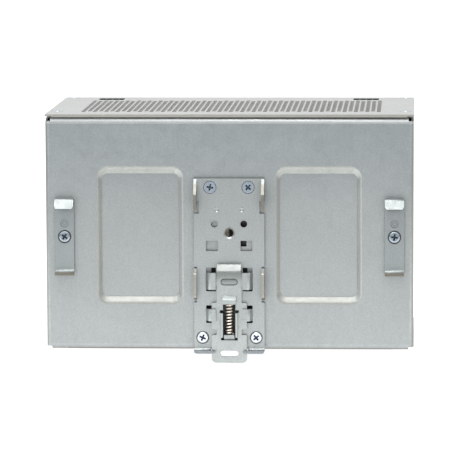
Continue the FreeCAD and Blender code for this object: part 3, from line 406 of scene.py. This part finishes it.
def mottled(tree, grain, low, high, span=NOISE_SPAN):
    """Noise between two colours."""
    return ramp(tree, noise(tree, *grain), list(zip(span, (low, high))))


def marked(tree, colour, marks):
    """Colour with a tint on each marked area, in order."""
    for make_mask, tint in marks:
        colour = tinted(tree, colour, make_mask(tree), tint)
    return colour


def surface(tree, shader, colour, rough, kind):
    """Links the colour, the patchy roughness and the bump of one kind of surface."""
    tree.links.new(colour, shader.inputs["Base Color"])
    low, high = [rough + change for change in kind["spread"]]
    patches = scaled(tree, noise(tree, *kind["patches"]), low, high)
    tree.links.new(patches, shader.inputs["Roughness"])
    shader.inputs["Metallic"].default_value = kind["metallic"]
    bump(tree, shader, noise(tree, *kind["texture"]), *kind["bump"])


def galvanised(name, tone, rough, grain=0.06, marks=()):
    """Matt galvanised sheet: fine grain, soft clouds and a faint rolling direction."""
    mat, tree, shader = new_material(name)
    dark, light = [[c * (1 + change) for c in tone] for change in (-grain, grain)]
    colour = mottled(tree, SHEET_GRAIN, dark, light, GRAIN_SPAN)
    for pattern, depth in ((SHEET_CLOUDS, CLOUD_DEPTH), (SHEET_ROLLING, ROLLING_DEPTH)):
        colour = multiply(tree, colour, mottled(tree, pattern, (depth,) * 3, (1.0,) * 3))
    surface(tree, shader, marked(tree, colour, marks), rough, SHEET)
    return mat


def plated(name, tone, rough, marks=()):
    """Plated or bare metal with a faint machining variation."""
    mat, tree, shader = new_material(name)
    colour = mottled(tree, PLATED_GRAIN, [c * GRAIN_DARK for c in tone], tone)
    surface(tree, shader, marked(tree, colour, marks), rough, PLATED)
    return mat


def plastic(name, tone, rough, transmission=0.0):
    """Moulded plastic with a fine texture."""
    mat, tree, shader = new_material(name)
    colour = mottled(tree, MOULDED_GRAIN, [c * GRAIN_DARK for c in tone], tone)
    surface(tree, shader, colour, rough, MOULDED)
    shader.inputs["Transmission Weight"].default_value = transmission
    return mat


# Painted shade on the cut edges of the plate and the latch, in the gaps between the parts
EDGE_SHADE = (0.20, 0.175, 0.15)
TRAY = galvanised(
    "tray_sheet",
    (0.272, 0.288, 0.290),
    0.48,
    grain=0.12,
    marks=[
        (tray_panel_crease_shade, (0.87, 0.865, 0.85)),
        (tray_panel_slope, (1.05, 1.01, 0.95)),
        (tray_left_slope_highlight, (1.18, 1.20, 1.22)),
        (tray_up_slope_shade, (0.88, 0.88, 0.88)),
        (tray_ends, (0.92, 0.90, 0.84)),
        (tray_upper_shade, (0.91, 0.955, 0.965)),
        (tray_foot_shade, (0.62, 0.57, 0.50)),
        (tray_top_bend_highlight, (1.38, 1.29, 1.27)),
    ],
)
COVER = galvanised(
    "cover_sheet",
    (0.32, 0.327, 0.322),
    0.52,
    marks=[(cover_cuts, (0.95, 0.91, 0.85)), (cover_screw_shade, (0.45, 0.45, 0.43))],
)
PLATE = galvanised(
    "plate_sheet",
    (0.280, 0.298, 0.299),
    0.44,
    grain=0.17,
    marks=[
        (plate_edge_shade, EDGE_SHADE),
        (plate_ear_edges, (0.9, 0.82, 0.74)),
        (plate_upper_ear_shade, (0.70, 0.70, 0.69)),
        (plate_flap_root_highlight, (1.4, 1.4, 1.4)),
        (plate_lip_shade, (0.66, 0.67, 0.71)),
        (plate_upper_seat_shade, (0.3, 0.3, 0.3)),
        (plate_lower_seat_shade, (0.35, 0.35, 0.36)),
    ],
)
LATCH = galvanised(
    "latch_sheet",
    (0.30, 0.322, 0.318),
    0.42,
    grain=0.15,
    marks=[
        (latch_edge_shade, EDGE_SHADE),
        (latch_dimple_top_shade, (0.55, 0.55, 0.545)),
        (latch_dimple_foot_highlight, (1.5, 1.5, 1.5)),
        (latch_hook_shade, (0.60, 0.59, 0.575)),
        (latch_shade, (0.66, 0.67, 0.655)),
    ],
)
NUT = galvanised(
    "nut_steel",
    (0.34, 0.35, 0.345),
    0.4,
    marks=[(nut_bore, (0.55, 0.47, 0.38)), (nut_shade, (0.05, 0.05, 0.05))],
)
BRACKET = galvanised(
    "bracket_sheet",
    (0.232, 0.254, 0.256),
    0.45,
    grain=0.15,
    marks=[
        (bracket_cuts, (0.60, 0.51, 0.42)),
        (bracket_seat_shade, (0.32, 0.32, 0.32)),
        (bracket_pip_shade, (0.6, 0.6, 0.6)),
        (bracket_hook_shade, (0.80, 0.79, 0.78)),
        (bracket_foot_shade, (0.84, 0.82, 0.80)),
    ],
)
UPPER_SCREW = plated(
    "upper_screw",
    (0.40, 0.46, 0.52),
    0.24,
    marks=[(upper_rim_shade, (0.35, 0.36, 0.4)), (upper_recess_shade, (0.25, 0.3, 0.36))],
)
BRACKET_SCREW = plated(
    "bracket_screw",
    (0.27, 0.31, 0.34),
    0.3,
    marks=[(bracket_rim_shade, (0.3, 0.3, 0.3)), (bracket_recess_shade, (0.2, 0.24, 0.3))],
)
WIRE = plated("spring_wire", (0.64, 0.58, 0.52), 0.28)

FINISHES = {
    "tray_steel": TRAY,
    "cover_steel": COVER,
    "plate_steel": PLATE,
    "latch_steel": LATCH,
    "bracket_steel": BRACKET,
    "blue_zinc": plated("blue_zinc", (0.36, 0.42, 0.48), 0.26),
    # The lower screws get painted shade in their cross recesses
    "bright_nickel": plated(
        "bright_nickel", (0.46, 0.48, 0.50), 0.22, marks=[(lower_recess_shade, (0.06, 0.10, 0.18))]
    ),
    "spring_wire": WIRE,
    "film": plastic("black_film", (0.02, 0.02, 0.022), 0.35),
    "board": plastic("solder_mask", (0.015, 0.09, 0.035), 0.3),
    "studs": plated("stud_metal", (0.55, 0.52, 0.44), 0.35),
    "ferrite": plastic("ferrite_grey", (0.03, 0.03, 0.034), 0.55),
    "coil_tape": plastic("yellow_tape", (0.55, 0.36, 0.03), 0.3),
    "enamel_wire": plated("enamelled_copper", (0.42, 0.14, 0.05), 0.3),
    "dark_plastic": plastic("black_moulding", (0.02, 0.021, 0.023), 0.4),
    "film_capacitor": plastic("capacitor_box", (0.52, 0.36, 0.02), 0.3),
    "fuse_glass": plastic("fuse_tube", (0.72, 0.74, 0.70), 0.12, transmission=0.5),
    "disc_coating": plastic("dipped_blue", (0.02, 0.08, 0.26), 0.3),
    "can_sleeve": plastic("can_sleeve", (0.014, 0.018, 0.035), 0.28),
    "heatsink_metal": plated("extruded_aluminium", (0.60, 0.61, 0.62), 0.42),
    "copper_bar": plated("copper_bar", (0.62, 0.30, 0.15), 0.35),
    "wire_jacket": plastic("wire_jacket", (0.05, 0.012, 0.01), 0.4),
    "terminal_green": plastic("terminal_green", (0.004, 0.022, 0.009), 0.6),
    "terminal_screw": plated("clamp_zinc", (0.60, 0.60, 0.57), 0.3),
    "lamp": plastic("lamp_lens", (0.42, 0.62, 0.36), 0.2),
    "light_pipe": plastic("clear_pipe", (0.75, 0.82, 0.76), 0.1, transmission=0.7),
    "trimmer_body": plastic("trimmer_blue", (0.012, 0.06, 0.26), 0.35),
    "trimmer_rotor": plastic("rotor_white", (0.66, 0.65, 0.60), 0.4),
}

OWN_FINISHES = {"plate_upper_screws": UPPER_SCREW, "bracket_screws": BRACKET_SCREW, "centre_nut": NUT}

for entry in frame["record"]["subparts"]:
    mesh = nodes[entry["node"]].data
    mesh.materials.clear()
    mesh.materials.append(OWN_FINISHES.get(entry["node"], FINISHES[entry["material_slot"]]))

# ---------------------------------------------------------------- edges

WELD_DISTANCE = 2e-6
FLAT_ANGLE = 1.0
BEVEL_ANGLE = 28
BEVEL_SEGMENTS = 2
SOFT_EDGES = {
    "chassis_tray": 0.00015,
    "rail_plate": 0.00018,
    "latch_slide": 0.00018,
    "side_bracket_left": 0.00022,
    "side_bracket_right": 0.00022,
}


def soften(node, width):
    """Rolled or broken edges on a CAD node."""
    obj = nodes[node]
    weld = obj.modifiers.new("weld", "WELD")
    weld.merge_threshold = WELD_DISTANCE
    flat = obj.modifiers.new("flat", "DECIMATE")
    flat.decimate_type = "DISSOLVE"
    flat.angle_limit = math.radians(FLAT_ANGLE)
    bevel = obj.modifiers.new("bevel", "BEVEL")
    bevel.width = width
    bevel.segments = BEVEL_SEGMENTS
    bevel.limit_method = "ANGLE"
    bevel.angle_limit = math.radians(BEVEL_ANGLE)
    bevel.harden_normals = True


for name, width in SOFT_EDGES.items():
    soften(name, width)

# ---------------------------------------------------------------- spring

SPRING_COILS = 11
SPRING_WIRE_R = 0.00042
SPRING_TRAVEL = 0.006
STEPS_PER_COIL = 28
WIRE_SIDES = 10


def coil_point(turn, centre, mean_r, low, high):
    """Point on the coil: its first and last turns lie close together."""
    pitch = 2 * SPRING_WIRE_R
    active = (high - low - 3 * pitch) / (SPRING_COILS - 2)
    rise = min(turn, 1) * pitch + max(0, min(turn, SPRING_COILS - 1) - 1) * active
    rise += max(0, turn - SPRING_COILS + 1) * pitch
    angle = 2 * math.pi * turn
    x = centre.x + mean_r * math.cos(angle)
    y = centre.y + mean_r * math.sin(angle)
    return Vector((x, y, low + pitch / 2 + rise))


def spring_coil():
    """Compression spring as a swept wire with closed ends."""
    low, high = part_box("latch_spring")
    centre = (low + high) / 2
    mean_r = (high.x - low.x) / 2 - SPRING_WIRE_R
    steps = SPRING_COILS * STEPS_PER_COIL
    turns = [k * SPRING_COILS / steps for k in range(steps + 1)]
    path = [coil_point(turn, centre, mean_r, low.z, high.z) for turn in turns]
    verts = []
    for k, point in enumerate(path):
        ahead = path[min(k + 1, steps)] - path[max(k - 1, 0)]
        out = Vector((point.x - centre.x, point.y - centre.y, 0)).normalized()
        up = ahead.cross(out).normalized()
        for j in range(WIRE_SIDES):
            angle = 2 * math.pi * j / WIRE_SIDES
            verts.append(point + (out * math.cos(angle) + up * math.sin(angle)) * SPRING_WIRE_R)
    faces = []
    for k in range(steps):
        for j in range(WIRE_SIDES):
            a = k * WIRE_SIDES + j
            b = k * WIRE_SIDES + (j + 1) % WIRE_SIDES
            faces.append((a, b, b + WIRE_SIDES, a + WIRE_SIDES))
    faces.append(tuple(range(WIRE_SIDES)))
    faces.append(tuple(reversed(range(steps * WIRE_SIDES, (steps + 1) * WIRE_SIDES))))
    mesh = bpy.data.meshes.new("spring_coil")
    mesh.from_pydata(verts, [], faces)
    work = bmesh.new()
    work.from_mesh(mesh)
    bmesh.ops.recalc_face_normals(work, faces=work.faces)
    work.to_mesh(mesh)
    work.free()
    for face in mesh.polygons:
        face.use_smooth = len(face.vertices) == 4
    mesh.materials.append(WIRE)
    obj = bpy.data.objects.new("spring_coil", mesh)
    bpy.context.scene.collection.objects.link(obj)
    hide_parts("latch_spring")
    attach(obj, "case")
    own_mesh(obj)


spring_coil()

# ---------------------------------------------------------------- floor, light, camera

FLOOR_DROP = 0.0005
FLOOR_HALF_X = 3.0
FLOOR_START_Y = -3.0
BACKDROP_Y = 2.6
BACKDROP_R = 0.6
BACKDROP_TOP_Z = 3.0
BACKDROP_STEPS = 12
PAPER_GRAIN = (6, 2)
PAPER_TONES = (0.26, 0.28)
PAPER_ROUGH = 0.9

# Painted light: the floor glows, by these amounts from near to far; the sheet metal mirrors it.
FLOOR_NEAR_Y = -1.3
FLOOR_FAR_Y = 0.3
FLOOR_PEAK = 3.0
FLOOR_GLOW = [
    (FLOOR_NEAR_Y, 0.10),
    (-0.6, 0.15),
    (-0.29, 0.80),
    (-0.22, 1.7),
    (-0.04, 2.2),
    (0.02, 0.92),
    (FLOOR_FAR_Y, 0.86),
]

SENSOR_WIDTH = 36
CAMERA_LENS = 269.8
CAMERA_REACH = 50
CAMERA_DISTANCE = 1.792
CAMERA_RISE = 0.147
CAMERA_AIM_X = 0.0004
CAMERA_AIM_Z = 0.0022
CAMERA_ROLL = -0.0038

# Even surround, brighter towards the ceiling
SKY_STRENGTH = 2.0
SKY = [
    (0.0, (0.15, 0.157, 0.162)),
    (0.12, (0.19, 0.197, 0.203)),
    (0.4, (0.85, 0.855, 0.86)),
    (1.0, (1.0, 1.0, 1.0)),
]

# Wide top light and a weak key from the front left: name, place, aim, size, power
LIGHTS = [
    ("top", (-0.15, -0.35, 1.3), (0, 0.03, 0), (1.0, 0.7), 20),
    ("front", (-0.7, -1.7, 0.7), (0, 0, 0), (0.6, 0.6), 2),
]


def stage_sheet():
    """Pale floor with a painted glow, clear of the released latch, that curves up into a backdrop."""
    mesh = bpy.data.meshes.new("floor")
    low = cad_box[0].z - SPRING_TRAVEL - FLOOR_DROP
    rows = [(FLOOR_START_Y, low), (BACKDROP_Y, low)]
    for step in range(1, BACKDROP_STEPS + 1):
        t = step * math.pi / 2 / BACKDROP_STEPS
        rows.append((BACKDROP_Y + BACKDROP_R * math.sin(t), low + BACKDROP_R * (1 - math.cos(t))))
    rows.append((BACKDROP_Y + BACKDROP_R, BACKDROP_TOP_Z))
    verts = [(x, y, z) for y, z in rows for x in (-FLOOR_HALF_X, FLOOR_HALF_X)]
    faces = [(2 * k, 2 * k + 1, 2 * k + 3, 2 * k + 2) for k in range(len(rows) - 1)]
    mesh.from_pydata(verts, [], faces)
    for face in mesh.polygons:
        face.use_smooth = True
    obj = bpy.data.objects.new("floor", mesh)
    bpy.context.scene.collection.objects.link(obj)
    mat, tree, shader = new_material("glowing_floor_paper")
    paper = mottled(tree, PAPER_GRAIN, *[(tone,) * 3 for tone in PAPER_TONES])
    tree.links.new(paper, shader.inputs["Base Color"])
    shader.inputs["Roughness"].default_value = PAPER_ROUGH
    shader.inputs["Emission Color"].default_value = (1, 1, 1, 1)
    along = scaled(tree, axes(tree, "Object")["Y"], 0, 1, FLOOR_NEAR_Y, FLOOR_FAR_Y)
    length = FLOOR_FAR_Y - FLOOR_NEAR_Y
    stops = [((y - FLOOR_NEAR_Y) / length, (glow / FLOOR_PEAK,) * 3) for y, glow in FLOOR_GLOW]
    glow = calc(tree, "MULTIPLY", ramp(tree, along, stops), FLOOR_PEAK)
    tree.links.new(glow, shader.inputs["Emission Strength"])
    mesh.materials.append(mat)


def area_light(name, location, target, size, power):
    """Rectangular soft light aimed at a point."""
    data = bpy.data.lights.new(name, "AREA")
    data.shape = "RECTANGLE"
    data.size, data.size_y = size
    data.energy = power
    obj = bpy.data.objects.new(name, data)
    obj.location = location
    obj.rotation_euler = (Vector(target) - Vector(location)).to_track_quat("-Z", "Y").to_euler()
    bpy.context.scene.collection.objects.link(obj)


def camera():
    """Camera a little above and to the right, aimed at the middle of the case."""
    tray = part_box("chassis_tray")
    wall_y = tray[0].y
    data = bpy.data.cameras.new("camera")
    data.sensor_width = SENSOR_WIDTH
    data.lens = CAMERA_LENS
    data.clip_end = CAMERA_REACH
    obj = bpy.data.objects.new("camera", data)
    obj.location = (tray[1].x, wall_y - CAMERA_DISTANCE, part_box("top_cover")[1].z + CAMERA_RISE)
    aim = Vector((CAMERA_AIM_X, wall_y, CAMERA_AIM_Z))
    look = (aim - obj.location).to_track_quat("-Z", "Y").to_matrix()
    obj.rotation_euler = (look @ Matrix.Rotation(CAMERA_ROLL, 3, "Z")).to_euler()
    bpy.context.scene.collection.objects.link(obj)
    bpy.context.scene.camera = obj


def surround():
    """Even studio surround, brighter towards the ceiling."""
    world = bpy.data.worlds.new("surround")
    world.use_nodes = True
    tree = world.node_tree
    background = tree.nodes["Background"]
    tree.links.new(ramp(tree, axes(tree, "Generated")["Z"], SKY), background.inputs["Color"])
    background.inputs["Strength"].default_value = SKY_STRENGTH
    bpy.context.scene.world = world


bpy.context.scene.view_settings.view_transform = "Standard"
stage_sheet()
surround()
for light in LIGHTS:
    area_light(*light)
camera()
